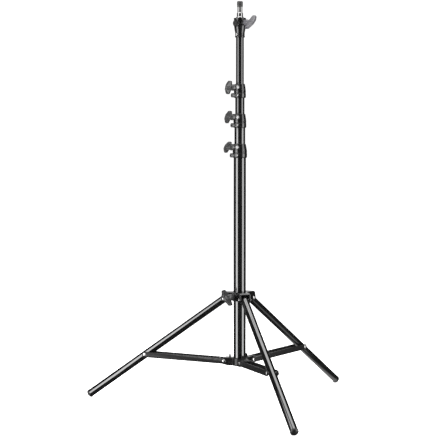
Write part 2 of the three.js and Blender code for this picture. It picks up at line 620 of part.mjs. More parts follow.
function spigotCap() {
  const bore = STUD_RADIUS + GAP;
  const low = SPIGOT_STEM_TOP + GAP;
  const boreTop = SPIGOT_CAP_TOP - 4;
  return turned([
    [bore, low], [SPIGOT_CAP_RADIUS - 0.6, low], [SPIGOT_CAP_RADIUS, low + 0.6],
    [SPIGOT_CAP_RADIUS, SPIGOT_CAP_TOP - 3], [SPIGOT_CAP_RADIUS - 0.8, SPIGOT_CAP_TOP - 0.9],
    [SPIGOT_CAP_RADIUS - 2.4, SPIGOT_CAP_TOP], [0, SPIGOT_CAP_TOP],
    [0, boreTop], [bore, boreTop], [bore, low],
  ], SMALL_SIDES);
}

function addHead() {
  add(stand, 'head_casting', headCasting(), blackCasting);
  const plugFrame = spoke(HEAD_PLUG_AZIMUTH, HEAD_PLUG_HEIGHT);
  const plugRadius = HEAD_PLUG.radius - GAP;
  const plugEnd = HEAD_BOSS_REACH + HEAD_PLUG.proud;
  const sidePlug = alongX(post(plugRadius, HEAD_PLUG.seat + GAP, plugEnd, BOSS_SIDES));
  add(plugFrame, 'head_side_plug', sidePlug, blackPlastic);
  const screwFrame = spoke(HEAD_PLUG_AZIMUTH, HEAD_SCREW_HEIGHT);
  add(screwFrame, 'head_fixing_screw', screw(HEAD_SCREW), brightSteel);
  const leverFrame = pivot(spoke(HEAD_LEVER_AZIMUTH, HEAD_LEVER_HEIGHT), HEAD_BOSS_REACH + GAP, 0, 0);
  leverFrame.rotation.x = radians(HEAD_LEVER_ROLL);
  add(leverFrame, 'head_lever', wingKnob(HEAD_LEVER), greyPlastic);
  add(leverFrame, 'head_lever_screw', lockScrew(HEAD_BORE + GAP - HEAD_BOSS_REACH), brightSteel);
  add(stand, 'spigot', spigot(), spigotMetal);
  add(stand, 'spigot_cap', spigotCap(), blackPlastic);
}

// ---------------------------------------------------------------------------------------------------------
// The whole stand
// ---------------------------------------------------------------------------------------------------------

addBaseTube();
add(stand, 'lower_spider', lowerSpider(), blackCasting);
addCollar();
LEGS.forEach(addLeg);
CLAMPS.forEach((clamp, index) => addRiser(index));
addHead();

export default stand;
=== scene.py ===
"""Looks for the telescopic lighting stand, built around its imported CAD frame.

Row frame: metres, Z up, origin at the centre of the base plug's flat underside. Shapes are drawn in
millimetres in local frames and placed by a matrix that also scales them to metres.
"""

import json
import math

import bmesh
import bpy
from mathutils import Matrix, Vector

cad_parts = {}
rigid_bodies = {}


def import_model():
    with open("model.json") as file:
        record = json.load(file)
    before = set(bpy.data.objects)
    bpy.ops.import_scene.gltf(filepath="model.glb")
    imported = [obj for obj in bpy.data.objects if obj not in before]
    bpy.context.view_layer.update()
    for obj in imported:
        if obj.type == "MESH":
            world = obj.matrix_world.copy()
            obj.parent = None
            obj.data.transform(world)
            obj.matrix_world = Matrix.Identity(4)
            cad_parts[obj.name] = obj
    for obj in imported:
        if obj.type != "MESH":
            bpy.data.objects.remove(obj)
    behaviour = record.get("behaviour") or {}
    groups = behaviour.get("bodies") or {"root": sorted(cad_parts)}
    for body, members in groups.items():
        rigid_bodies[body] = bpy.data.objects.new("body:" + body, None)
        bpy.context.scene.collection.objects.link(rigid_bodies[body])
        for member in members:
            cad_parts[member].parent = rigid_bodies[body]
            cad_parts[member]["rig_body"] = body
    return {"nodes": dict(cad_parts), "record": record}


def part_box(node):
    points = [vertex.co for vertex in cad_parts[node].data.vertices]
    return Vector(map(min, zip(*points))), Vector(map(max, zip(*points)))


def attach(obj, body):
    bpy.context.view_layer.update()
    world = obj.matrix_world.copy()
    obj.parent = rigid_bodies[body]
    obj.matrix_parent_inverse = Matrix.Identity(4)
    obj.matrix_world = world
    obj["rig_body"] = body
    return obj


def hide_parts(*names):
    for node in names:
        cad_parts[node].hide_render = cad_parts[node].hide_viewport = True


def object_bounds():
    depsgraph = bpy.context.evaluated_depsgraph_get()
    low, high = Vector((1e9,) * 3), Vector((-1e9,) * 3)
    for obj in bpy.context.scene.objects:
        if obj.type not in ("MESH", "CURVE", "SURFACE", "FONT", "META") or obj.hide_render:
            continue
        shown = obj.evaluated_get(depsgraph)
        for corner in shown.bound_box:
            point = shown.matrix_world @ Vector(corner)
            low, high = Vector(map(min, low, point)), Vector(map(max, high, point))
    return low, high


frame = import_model()
cad_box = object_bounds()

# ---------------------------------------------------------------------------------------------------
# Driving dimensions, in millimetres. Heights are measured from the floor, as in the CAD.
# ---------------------------------------------------------------------------------------------------

COLUMN_BASE_HEIGHT = 124
GAP = 0.3
BORE_GAP = 0.2  # round a tube in a casting
WALL = 1.5
PIN_RADIUS = 4
PIN_HOLE = PIN_RADIUS + 0.3
TUBE_RADII = (20, 17.5, 15, 12.7)  # of the base tube and of risers 2 to 4
ARM_START = 10  # from the column's axis, inside the sleeve
BOSS_START = 5  # from the column's axis, inside the casting
PLUG_FLANGE = 2.7
PLUG_WALL = 3
PLUG_FLOOR = 2

LEG_AZIMUTHS = {"front": -90, "right": 30, "left": 150}
BOLT_SIDES = {"front": -1, "right": -1, "left": 1}
LEG_RADIUS = 12.5
LEG_HEAD = 6  # how far the leg's tube runs past its pivot
BUSH_WALL = 1.5
PIVOT_RADIUS = 49
BRACE_PIVOT_HEIGHT = 139.4
LEG_PIVOT_HEIGHT = 343.739
BRACE_INNER = 15.5
BRACE_WALL = 2
BRACE_OUTER = BRACE_INNER + BRACE_WALL
BRACE_HALF_HEIGHT = 9
BRACE_BRIDGE = (13, 19.5)
FOOT_CAP_RADIUS = 13.2
FOOT_RIM = 3
FOOT_DOME = 8
FOOT_SPIGOT = 25

SPIDER_BOTTOM = 125.5
SPIDER_TOP = 150.5
SPIDER_RADIUS = 25.5
ARM_HALF_WIDTH = 14.5
ARM_TOP = 151.2
ARM_TONGUE_RADIUS = 11
STOP_PEG = (30, 34.5)  # from the column's axis
STOP_PEG_HALF_WIDTH = 4.5
STOP_PEG_TOP = 161.3
ARM_DIMPLE = {"out": 33.4, "height": 137, "radius": 2, "depth": 3}

COLLAR_BOTTOM = 336.2
COLLAR_TOP = 363
COLLAR_RADIUS = 27
COLLAR_BORE = 22.3
LUG_TOP = 366
LUG_ROOF = 359.2
LUG_REACH = 56
EAR_INNER = 13.3
EAR_OUTER = 18.8
EAR_RADIUS = 10
COLLAR_KNOB_AZIMUTH = 210
COLLAR_KNOB_HEIGHT = 351
COLLAR_KNOB_ROLL = 35
COLLAR_BOSS_RADIUS = 11
COLLAR_BOSS_REACH = 37

CLAMP_HEIGHT = 45.5
CLAMP_LINER_BOTTOM = 17.8
CLAMP_LINER_TOP = 33
CLAMP_BOSS_PROUD = 1.5
CLAMP_BOLT_HEIGHT = 8.5
CLAMP_BOLT_BOSS_RADIUS = 7.5
CLAMP_BOLT = {"shank": 3, "head": 7, "length": 8.5}
CLAMP_KNOB_AZIMUTH = 190
CLAMP_KNOB_BOSS_RADIUS = 10.5
CLAMP_PINHOLE = {"azimuth": -75, "height": 20.3, "radius": 1.4}
# each pad carries a pale disc, a painted highlight: see CLAMP_HIGHLIGHT_MARGIN
CLAMP_PAD_AZIMUTH = 231
CLAMP_PAD_PROUD = 1
CLAMP_PADS = [(34.5, 6.5), (9, 4)]  # height, radius
CLAMP_HIGHLIGHT_MARGIN = 1.2  # between the rim of a painted highlight disc and its pad's
CLAMPS = [  # knob is the height of its axis above the clamp's bottom
    {"number": 1, "body": "column", "radius": 23.4, "lip": 19.4, "knob": 34.8, "roll": -43},
    {"number": 2, "body": "riser_2", "radius": 20.9, "lip": 17.6, "knob": 34.8, "roll": -33},
    {"number": 3, "body": "riser_3", "radius": 19.5, "lip": 16.3, "knob": 33.5, "roll": -22},
]

SMALL_KNOB = {"scale": 1, "hub_radius": 10.5, "thickness": 8.5}
LARGE_KNOB = {"scale": 1.27, "hub_radius": 10.5, "thickness": 9}
HEAD_LEVER = {"scale": 1.27, "hub_radius": 9.5, "thickness": 9}

HEAD_BOTTOM = 1185.6
HEAD_TOP = 1247.6
HEAD_BORE = 8.3
HEAD_BORE_BOTTOM = 1218.5
HEAD_PLUG_AZIMUTH = 210
HEAD_PLUG_HEIGHT = 1230.6
HEAD_PLUG_RADIUS = 7.7
HEAD_PLUG_START = 16.8  # from the column's axis
HEAD_LEVER_AZIMUTH = 300
HEAD_LEVER_HEIGHT = 1232.5
HEAD_LEVER_ROLL = -43
HEAD_LEVER_BOSS_RADIUS = 9.5
HEAD_PLUG_BOSS_RADIUS = 11.5
HEAD_BOSS_REACH = 21.5
HEAD_SCREW_HEIGHT = 1195
HEAD_SCREW = {"tip": 13.2, "seat": 16, "shank": 2, "head": 4, "length": 2}
TOP_RISER_END = 1214.1
SPIGOT_RADIUS = 8
SPIGOT_STUD_RADIUS = 4.8  # inside the cap
SPIGOT_SHOULDER = 1252.4
SPIGOT_BODY_TOP = 1263
SPIGOT_STEM_TOP = 1283.5
SPIGOT_CAP_TOP = 1301.5
SPIGOT_STUD_TOP = SPIGOT_CAP_TOP - 5
SPIGOT_CAP_RADIUS = 9.3

# ---------------------------------------------------------------------------------------------------
# Local frames
# ---------------------------------------------------------------------------------------------------

TO_METRES = Matrix.Scale(0.001, 4)
STAND = Matrix.Translation((0, 0, -COLUMN_BASE_HEIGHT / 1000)) @ TO_METRES
ALONG_X = Matrix.Rotation(math.pi / 2, 4, "Y")  # turns a shape made about Z to lie along X
ALONG_Y = Matrix.Rotation(-math.pi / 2, 4, "X")  # turns a shape made about Z to lie along Y
ACROSS = {1: ALONG_Y, -1: Matrix.Rotation(math.pi / 2, 4, "X")}  # along +Y and along -Y


def at(x, y, z):
    return Matrix.Translation((x, y, z))


def spoke(azimuth, out=0, height=0, roll=0):
    """A frame on the stand whose +X points outward at an azimuth, moved out along it and rolled about it."""
    turn = Matrix.Rotation(math.radians(azimuth), 4, "Z")
    return STAND @ at(0, 0, height) @ turn @ at(out, 0, 0) @ Matrix.Rotation(math.radians(roll), 4, "X")


def middle(node):
    """The middle of a node's box."""
    low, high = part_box(node)
    return (low + high) / 2


def line_frame(start, end):
    """A frame at start whose +X points at end and whose +Y is level."""
    x = (end - start).normalized()
    y = Vector((-x.y, x.x, 0)).normalized()
    turn = Matrix((x, y, x.cross(y))).transposed().to_4x4()
    return Matrix.Translation(start) @ turn @ TO_METRES


def heights(node):
    """A node's lowest and highest point in millimetres from the floor."""
    low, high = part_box(node)
    return low.z * 1000 + COLUMN_BASE_HEIGHT, high.z * 1000 + COLUMN_BASE_HEIGHT


# ---------------------------------------------------------------------------------------------------
# Shapes
# ---------------------------------------------------------------------------------------------------

ROUND = 96  # segments of a large round
SMALL_ROUND = 48
HOLE_ROUND = 32
PINHOLE_ROUND = 24
CORNER_STEPS = 3
SHARP = 40  # degrees between faces above which an edge stays sharp
SAME_PLACE = 2e-6  # metres


def new_object(name, bm):
    """Turns a bmesh into a shaded object."""
    bmesh.ops.remove_doubles(bm, verts=bm.verts, dist=SAME_PLACE)
    bmesh.ops.recalc_face_normals(bm, faces=bm.faces)
    mesh = bpy.data.meshes.new(name)
    bm.to_mesh(mesh)
    bm.free()
    thing = bpy.data.objects.new(name, mesh)
    bpy.context.scene.collection.objects.link(thing)
    shade(thing)
    return thing


def shade(thing, sharp=SHARP):
    """Gives smooth faces, with sharp edges above an angle in degrees and along open borders."""
    bm = bmesh.new()
    bm.from_mesh(thing.data)
    limit = math.radians(sharp)
    for face in bm.faces:
        face.smooth = True
    for edge in bm.edges:
        edge.smooth = len(edge.link_faces) == 2 and edge.calc_face_angle(0) < limit
    bm.to_mesh(thing.data)
    bm.free()


def softened(points, radius, closed=False):
    """Rounds the corners of a polyline: each corner becomes a short curve no longer than its edges allow."""
    if radius == 0:
        return points
    count = len(points)
    result = []
    for i, point in enumerate(points):
        if not closed and i in (0, count - 1):
            result.append(point)
            continue
        here = Vector(point)
        before = Vector(points[i - 1])
        after = Vector(points[(i + 1) % count])
        reach = min(radius, (before - here).length * 0.45, (after - here).length * 0.45)
        start = here + (before - here).normalized() * reach
        end = here + (after - here).normalized() * reach
        for k in range(CORNER_STEPS + 1):
            t = k / CORNER_STEPS
            result.append(tuple(start * (1 - t) ** 2 + here * 2 * t * (1 - t) + end * t * t))
    return result


def lathe(name, profile, place, segments=ROUND, soft=0.4):
    """Revolves (radius, height) points about local Z. A profile that ends where it starts makes a ring."""
    closed = profile[0] == profile[-1]
    points = softened(profile[:-1], soft, closed=True) if closed else softened(profile, soft)
    bm = bmesh.new()
    rings = []
    for radius, height in points:
        if radius < 1e-6:
            rings.append([bm.verts.new(place @ Vector((0, 0, height)))] * segments)
            continue
        angles = (2 * math.pi * k / segments for k in range(segments))
        rings.append([
            bm.verts.new(place @ Vector((radius * math.cos(a), radius * math.sin(a), height))) for a in angles
        ])
    pairs = list(zip(rings, rings[1:]))
    if closed:
        pairs.append((rings[-1], rings[0]))
    for lower, upper in pairs:
        for k in range(segments):
            corners = [lower[k], lower[(k + 1) % segments], upper[(k + 1) % segments], upper[k]]
            unique = list(dict.fromkeys(corners))
            if len(unique) > 2:
                bm.faces.new(unique)
    return new_object(name, bm)


def tube_profile(outer, inner, low, high):
    """A closed profile for lathe."""
    return [(inner, low), (outer, low), (outer, high), (inner, high), (inner, low)]


def post(radius, low, high, place, segments=SMALL_ROUND):
    """A plain cylinder about local Z, used to cut holes and to make bosses."""
    return lathe("post", [(0, low), (radius, low), (radius, high), (0, high)], place, segments, soft=0)


def arc(cx, cz, radius, start, end, steps=14):
    """Points along an arc between two angles in degrees."""
    angles = [math.radians(start + (end - start) * k / steps) for k in range(steps + 1)]
    return [(cx + radius * math.cos(a), cz + radius * math.sin(a)) for a in angles]


def slab(name, outline, low, high, place):
    """A plate whose outline lies in local X and Z and whose thickness runs along Y."""
    bm = bmesh.new()
    near = [bm.verts.new(place @ Vector((x, low, z))) for x, z in outline]
    far = [bm.verts.new(place @ Vector((x, high, z))) for x, z in outline]
    bm.faces.new(near)
    bm.faces.new(list(reversed(far)))
    count = len(outline)
    for k in range(count):
        bm.faces.new([near[k], near[(k + 1) % count], far[(k + 1) % count], far[k]])
    return new_object(name, bm)


def block(x, y, z, place):
    """A box between pairs of local coordinates."""
    return slab("block", [(x[0], z[0]), (x[1], z[0]), (x[1], z[1]), (x[0], z[1])], y[0], y[1], place)


def bar_section(half_width, low, high, corner):
    """A rectangle in Y and Z with two rounded upper corners and two slightly rounded lower ones."""
    return (
        arc(half_width - corner, high - corner, corner, 0, 90, 6)
        + arc(corner - half_width, high - corner, corner, 90, 180, 6)
        + arc(1 - half_width, low + 1, 1, 180, 270, 3)
        + arc(half_width - 1, low + 1, 1, 270, 360, 3)
    )


def bake(thing):
    """Applies a piece's modifiers to its mesh."""
    graph = bpy.context.evaluated_depsgraph_get()
    graph.update()
    mesh = bpy.data.meshes.new_from_object(thing.evaluated_get(graph))
    thing.modifiers.clear()
    thing.data = mesh
    return thing


def boolean(thing, operation, tools):
    """Applies each tool to a piece and deletes it."""
    for tool in tools:
        step = thing.modifiers.new("boolean", "BOOLEAN")
        step.operation = operation
        step.object = tool
        step.solver = "MANIFOLD"
        bake(thing)
        bpy.data.objects.remove(tool)
    return thing


def joined(thing, *tools):
    return boolean(thing, "UNION", tools)


def drilled(thing, *tools):
    return boolean(thing, "DIFFERENCE", tools)


def rounded(thing, width):
    """Rounds the sharp edges of a plain piece. width is in millimetres."""
    step = thing.modifiers.new("bevel", "BEVEL")
    step.width = width / 1000
    step.segments = 3
    step.limit_method = "ANGLE"
    step.angle_limit = math.radians(35)
    bake(thing)
    shade(thing)
    return thing


def keep_largest_shell(thing):
    """Deletes the specks that a remesh can leave: every connected part of a mesh except the largest."""
    bm = bmesh.new()
    bm.from_mesh(thing.data)
    shells = []
    for seed in bm.verts:
        if seed.tag:
            continue
        seed.tag = True
        shell = [seed]
        for vert in shell:
            for edge in vert.link_edges:
                other = edge.other_vert(vert)
                if not other.tag:
                    other.tag = True
                    shell.append(other)
        shells.append(shell)
    shells.sort(key=len)
    specks = [vert for shell in shells[:-1] for vert in shell]
    bmesh.ops.delete(bm, geom=specks, context="VERTS")
    bm.to_mesh(thing.data)
    bm.free()


def cast(thing, name, voxel, passes):
    """Gives a piece the soft edges and filleted corners of a casting or a moulding. voxel is in mm."""
    step = thing.modifiers.new("remesh", "REMESH")
    step.mode = "VOXEL"
    step.voxel_size = voxel / 1000
    step = thing.modifiers.new("smooth", "SMOOTH")
    step.factor = 0.5
    step.iterations = passes
    step = thing.modifiers.new("decimate", "DECIMATE")
    step.ratio = 0.4
    bake(thing)
    keep_largest_shell(thing)
    shade(thing, sharp=75)
    thing.name = name
    thing.data.name = name
    return thing


# ---------------------------------------------------------------------------------------------------
# Materials
# ---------------------------------------------------------------------------------------------------


class Surface:
    """A node material built up from a Principled shader."""

    def __init__(self, name, **values):
        self.material = bpy.data.materials.new(name)
        self.material.use_nodes = True
        self.tree = self.material.node_tree
        self.shader = self.tree.nodes["Principled BSDF"]
        self.coordinates = self.tree.nodes.new("ShaderNodeTexCoord")
        for key, value in values.items():
            self.shader.inputs[key.replace("_", " ")].default_value = value

    def node(self, kind, **values):
        made = self.tree.nodes.new("ShaderNode" + kind)
        for key, value in values.items():
            if key in made.inputs:
                made.inputs[key].default_value = value
            else:
                setattr(made, key, value)
        return made

    def link(self, source, target):
        self.tree.links.new(source, target)

    def stretched(self, scale):
        """Object coordinates scaled along each axis."""
        mapping = self.node("Mapping")
        mapping.inputs["Scale"].default_value = scale
        self.link(self.coordinates.outputs["Object"], mapping.inputs["Vector"])
        return mapping.outputs["Vector"]

    def noise(self, scale, detail=4, stretch=(1, 1, 1)):
        made = self.node("TexNoise", Scale=scale, Detail=detail, Roughness=0.6)
        self.link(self.stretched(stretch), made.inputs["Vector"])
        return made.outputs["Fac"]

    def spread(self, source, low, high, start=0.3, end=0.7):
        """Maps a value between start and end to a range, and clamps it there."""
        made = self.node("MapRange")
        made.inputs["From Min"].default_value = start
        made.inputs["From Max"].default_value = end
        made.inputs["To Min"].default_value = low
        made.inputs["To Max"].default_value = high
        self.link(source, made.inputs["Value"])
        return made.outputs["Result"]

    def colours(self, source, first, second):
        """Blends two colours by a 0 to 1 value."""
        made = self.node("Mix", data_type="RGBA")
        made.inputs[6].default_value = (*first, 1)
        made.inputs[7].default_value = (*second, 1)
        self.link(source, made.inputs[0])
        return made.outputs[2]

    def edges(self, start=0.52, end=0.62):
        """1 on convex edges and 0 elsewhere."""
        geometry = self.node("NewGeometry")
        return self.spread(geometry.outputs["Pointiness"], 0, 1, start, end)

    def times(self, first, second):
        made = self.node("Math", operation="MULTIPLY")
        self.link(first, made.inputs[0])
        self.link(second, made.inputs[1])
        return made.outputs["Value"]

    def bump(self, source, strength, distance=0.0001):
        made = self.node("Bump", Strength=strength, Distance=distance)
        self.link(source, made.inputs["Height"])
        self.link(made.outputs["Normal"], self.shader.inputs["Normal"])

    def set(self, socket, source):
        self.link(source, self.shader.inputs[socket])


def grey(value, warmth=0.0):
    """A linear grey, a little redder for a positive warmth."""
    return (value * (1 + warmth), value, value * (1 - warmth))


def tube_black():
    """Gloss black anodised aluminium, faintly wavy, with dust."""
    surface = Surface("tube_black", Metallic=0.0, IOR=1.75)
    dust = surface.noise(26, detail=6)
    surface.set("Base Color", surface.colours(surface.spread(dust, 0, 1), grey(0.003, -0.03), grey(0.005)))
    surface.set("Roughness", surface.spread(surface.noise(60, detail=5), 0.06, 0.1))
    surface.bump(surface.noise(30, detail=1), 0.1, 0.0002)
    return surface.material


def casting(name, smooth, rough, shine=0.5, tone=0.004):
    """Enamel over a casting, a little lighter along its edges: partly wear, partly a painted edge highlight.
    smooth and rough bound its roughness.
    """
    surface = Surface(name, IOR=1.5, Specular_IOR_Level=shine)
    # lighter convex edges broken up by noise: partly wear, partly a painted edge highlight
    edge_wear_and_highlight = surface.times(surface.edges(), surface.spread(surface.noise(220, detail=6), 0.2, 1))
    surface.set("Base Color", surface.colours(edge_wear_and_highlight, grey(tone), grey(tone + 0.02)))
    surface.set("Roughness", surface.spread(surface.noise(300), smooth, rough))
    surface.bump(surface.noise(300, detail=2), 0.02, 0.0001)
    return surface.material


def brace_black():
    """Black painted steel strip with bright edges: partly bare sheared metal, partly a painted edge
    highlight.
    """
    surface = Surface("brace_black", IOR=1.5)
    # bright convex edges in colour and in gloss: partly bare metal, partly a painted edge highlight
    edge_wear_and_highlight = surface.times(surface.edges(0.53, 0.6), surface.spread(surface.noise(150, detail=5), 0.1, 1))
    surface.set("Base Color", surface.colours(edge_wear_and_highlight, grey(0.009), grey(0.05)))
    surface.set("Specular IOR Level", surface.spread(edge_wear_and_highlight, 0.16, 1, 0, 1))
    surface.set("Roughness", surface.spread(surface.noise(90), 0.34, 0.46))
    surface.bump(surface.noise(300, detail=3), 0.02, 0.0001)
    return surface.material


def knob_black():
    """Moulded black plastic with a satin grain."""
    surface = Surface("knob_black", IOR=1.5)
    mottle = surface.spread(surface.noise(120, detail=5), 0, 1)
    surface.set("Base Color", surface.colours(mottle, grey(0.024), grey(0.034)))
    surface.set("Roughness", surface.spread(surface.noise(400), 0.2, 0.3))
    surface.bump(surface.noise(900, detail=2), 0.05, 0.0001)
    return surface.material


def lever_grey():
    """The head lever's plastic: the same moulding in a bluish dark grey."""
    surface = Surface("lever_grey", IOR=1.5)
    mottle = surface.spread(surface.noise(120, detail=5), 0, 1)
    surface.set("Base Color", surface.colours(mottle, (0.048, 0.046, 0.052), (0.067, 0.065, 0.073)))
    surface.set("Roughness", surface.spread(surface.noise(400), 0.36, 0.5))
    surface.bump(surface.noise(1800, detail=2), 0.2, 0.0001)
    return surface.material


def plastic_black():
    """Dull black plastic, for plugs."""
    surface = Surface("plastic_black", IOR=1.5, Specular_IOR_Level=0.3)
    mottle = surface.spread(surface.noise(90, detail=4), 0, 1)
    surface.set("Base Color", surface.colours(mottle, grey(0.005), grey(0.01)))
    surface.set("Roughness", surface.spread(surface.noise(500), 0.42, 0.58))
    surface.bump(surface.noise(1600, detail=2), 0.2, 0.0001)
    return surface.material


def cap_grey():
    """The spigot cap's dark plastic, a little lighter than the black mouldings."""
    surface = Surface("cap_grey", IOR=1.5)
    mottle = surface.spread(surface.noise(140, detail=4), 0, 1)
    surface.set("Base Color", surface.colours(mottle, grey(0.012), grey(0.02)))
    surface.set("Roughness", surface.spread(surface.noise(500), 0.4, 0.55))
    surface.bump(surface.noise(1600, detail=2), 0.2, 0.0001)
    return surface.material


def rubber():
    """The foot caps' rubber, scuffed lighter along its edges."""
    surface = Surface("rubber", IOR=1.5)
    scuffs = surface.times(surface.edges(0.5, 0.6), surface.spread(surface.noise(180, detail=6), 0, 1))
    surface.set("Base Color", surface.colours(scuffs, grey(0.006), grey(0.03)))
    surface.set("Roughness", surface.spread(surface.noise(350), 0.28, 0.42))
    surface.bump(surface.noise(900, detail=5), 0.12, 0.0002)
    return surface.material


def steel_bright():
    """Zinc-plated steel, for rivets, bolts and screws."""
    surface = Surface("steel_bright", Metallic=1.0)
    bloom = surface.spread(surface.noise(260, detail=5), 0, 1)
    surface.set("Base Color", surface.colours(bloom, grey(0.56), grey(0.42, 0.02)))
    surface.set("Roughness", surface.spread(surface.noise(700), 0.22, 0.4))
    surface.bump(surface.noise(900, detail=3), 0.15, 0.0001)
    return surface.material


def painted_highlight_grey():
    """Pale satin grey for the discs in the clamps' pads: a painted highlight where the left softbox reflects.
    """
    surface = Surface("painted_highlight_grey", IOR=1.5)
    mottle = surface.spread(surface.noise(200, detail=4), 0, 1)
    surface.set("Base Color", surface.colours(mottle, grey(0.24), grey(0.3)))
    surface.set("Roughness", surface.spread(surface.noise(300), 0.35, 0.5))
    return surface.material


def spigot_metal():
    """Turned steel: fine rings round the axis."""
    surface = Surface("spigot_metal", Metallic=1.0)
    bloom = surface.spread(surface.noise(140, detail=5), 0, 1)
    surface.set("Base Color", surface.colours(bloom, grey(0.25), grey(0.2, 0.01)))
    surface.set("Roughness", surface.spread(surface.noise(300), 0.05, 0.1))
    rings = surface.noise(400, detail=2, stretch=(0.05, 0.05, 6))
    surface.bump(rings, 0.03, 0.00005)
    return surface.material


MATERIALS = {
    "tube_black": tube_black(),
    "casting_black": casting("casting_black", 0.12, 0.2),
    "casting_satin": casting("casting_satin", 0.22, 0.34, shine=0.25),
    "casting_grey": casting("casting_grey", 0.3, 0.42, tone=0.05),
    "brace_black": brace_black(),
    "knob_black": knob_black(),
    "lever_grey": lever_grey(),
    "plastic_black": plastic_black(),
    "cap_grey": cap_grey(),
    "rubber": rubber(),
    "steel_bright": steel_bright(),
    # a pale grey painted on the clamps' discs as a highlight
    "painted_highlight_grey": painted_highlight_grey(),
    "spigot_metal": spigot_metal(),
}


def paint(thing, look):
    """Gives a piece one of MATERIALS."""
    thing.data.materials.clear()
    thing.data.materials.append(MATERIALS[look])


def place_piece(thing, node, look):
    """Names a finished piece after the CAD node it stands for, and makes it ride on that node's body."""
    thing.name = node + "_look"
    paint(thing, look)
    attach(thing, frame["nodes"][node]["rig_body"])
    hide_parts(node)
    return thing


# ---------------------------------------------------------------------------------------------------
# Shared small parts
# ---------------------------------------------------------------------------------------------------


def rivet(node, place, reach):
    """A pin along local Y with a domed head at each end."""
    head = 5.8
    dome = 2.8
    cap = [
        (head, reach), (head, reach + 0.7), (head * 0.9, reach + 1.6), (head * 0.62, reach + 2.4),
        (0, reach + dome),
    ]
    tail = [(radius, -height) for radius, height in reversed(cap)]
    profile = tail + [(PIN_RADIUS, -reach), (PIN_RADIUS, reach)] + cap
    return place_piece(lathe(node, profile, place @ ALONG_Y, SMALL_ROUND, soft=0.5), node, "steel_bright")


def hex_post(radius, low, high, place):
    """A six-sided post about local Z, with its corners at a radius."""
    return post(radius, low, high, place, 6)


def screw(node, look, place, tip, seat, shank, head, length):
    """A socket-headed screw along local X."""
    profile = [
        (0, tip), (shank, tip), (shank, seat), (head, seat), (head, seat + length), (0, seat + length),
    ]
    piece = lathe(node, profile, place @ ALONG_X, SMALL_ROUND, soft=min(0.8, head * 0.2))
    drilled(piece, hex_post(head * 0.5, seat + length * 0.45, seat + length + 1, place @ ALONG_X))
    shade(piece)
    return place_piece(piece, node, look)


WING_EDGES = [  # (share of the full thickness, [(out, up) along one wing])
    (0.15, [(8.5, 0), (8.5, 7), (10.9, 19.5), (11.8, 21.6)]),
    (1, [(16.8, 0), (16.8, 20.6)]),
    (0.75, [(14, 21.9), (23.6, 21.9), (24.8, 20.8), (30.6, 8), (31, 0)]),
]


def wing(place, scale, thickness, side):
    """Half of a knob's grip, above the hub's axis for side 1 and below it for side -1."""
    bm = bmesh.new()
    for share, edge in WING_EDGES:
        for x, z in edge:
            for y in (-share * thickness / 2, share * thickness / 2):
                bm.verts.new(place @ Vector((x * scale, y, side * z * scale)))
    bmesh.ops.convex_hull(bm, input=bm.verts)
    bmesh.ops.delete(bm, geom=[vert for vert in bm.verts if not vert.link_faces], context="VERTS")
    return new_object("wing", bm)


def wing_knob(node, place, look, scale, hub_radius, thickness):
    """A hub along local +X with two wings that spread up and down and thin out towards the hub."""
    hub_profile = [
        (0, 0), (hub_radius, 0), (hub_radius, 7.5 * scale), (hub_radius - 0.9, 8 * scale),
        (hub_radius - 0.9, 9.5 * scale), (hub_radius * 0.72, 15 * scale), (hub_radius * 0.6, 26 * scale),
        (0, 27 * scale),
    ]
    hub = lathe("hub", hub_profile, place @ ALONG_X, ROUND, soft=0.6)
    wings = [wing(place, scale, thickness, side) for side in (-1, 1)]
    piece = drilled(joined(hub, *wings), post(PIN_HOLE, -1, 8, place @ ALONG_X))
    return place_piece(cast(piece, node, voxel=0.5, passes=2), node, look)


# ---------------------------------------------------------------------------------------------------
# Column tubes
# ---------------------------------------------------------------------------------------------------


def column_tube(node, radius):
    """A plain tube of the telescopic column."""
    low, high = heights(node)
    place_piece(lathe(node, tube_profile(radius, radius - WALL, low, high), STAND), node, "tube_black")


def base_plug():
    """The cup that closes the base tube's lower end."""
    low, high = heights("base_plug")
    seat = low + PLUG_FLANGE
    flange = TUBE_RADII[0]
    spigot = flange - WALL - GAP
    profile = [
        (0, low), (flange, low), (flange, seat), (spigot, seat), (spigot, high), (spigot - PLUG_WALL, high),
        (spigot - PLUG_WALL, seat + PLUG_FLOOR), (0, seat + PLUG_FLOOR),
    ]
    place_piece(lathe("base_plug", profile, STAND, soft=0.9), "base_plug", "plastic_black")


for tube_name, tube_radius in zip(("base_tube", "riser_2_tube", "riser_3_tube", "riser_4_tube"), TUBE_RADII):
    column_tube(tube_name, tube_radius)
base_plug()

# ---------------------------------------------------------------------------------------------------
# Lower spider
# ---------------------------------------------------------------------------------------------------


def spider_arm(azimuth):
    """An arm that carries one leg's brace, with a peg that stops the collar."""
    place = spoke(azimuth)
    tongue = ARM_TONGUE_RADIUS
    outline = [(ARM_START, SPIDER_BOTTOM), (PIVOT_RADIUS - tongue, SPIDER_BOTTOM)]
    outline += arc(PIVOT_RADIUS, BRACE_PIVOT_HEIGHT, tongue, -90, 90)
    outline += [(PIVOT_RADIUS - 2, ARM_TOP), (ARM_START, ARM_TOP)]
    arm = slab("arm", outline, -ARM_HALF_WIDTH, ARM_HALF_WIDTH, place)
    near, far = STOP_PEG
    low = ARM_TOP - 2
    outline = [(near, low), (far, low), (far, STOP_PEG_TOP), (near, STOP_PEG_TOP)]
    peg = slab("peg", softened(outline, 1, True), -STOP_PEG_HALF_WIDTH, STOP_PEG_HALF_WIDTH, place)
    depth = ARM_DIMPLE["depth"]
    dimples = []
    for side in (-1, 1):
        dimple_place = place @ at(ARM_DIMPLE["out"], side * ARM_HALF_WIDTH, ARM_DIMPLE["height"]) @ ALONG_Y
        dimples.append(post(ARM_DIMPLE["radius"], -depth, depth, dimple_place, PINHOLE_ROUND))
    pin_hole = post(PIN_HOLE, -20, 20, place @ at(PIVOT_RADIUS, 0, BRACE_PIVOT_HEIGHT) @ ALONG_Y)
    return drilled(joined(arm, peg), pin_hole, *dimples)


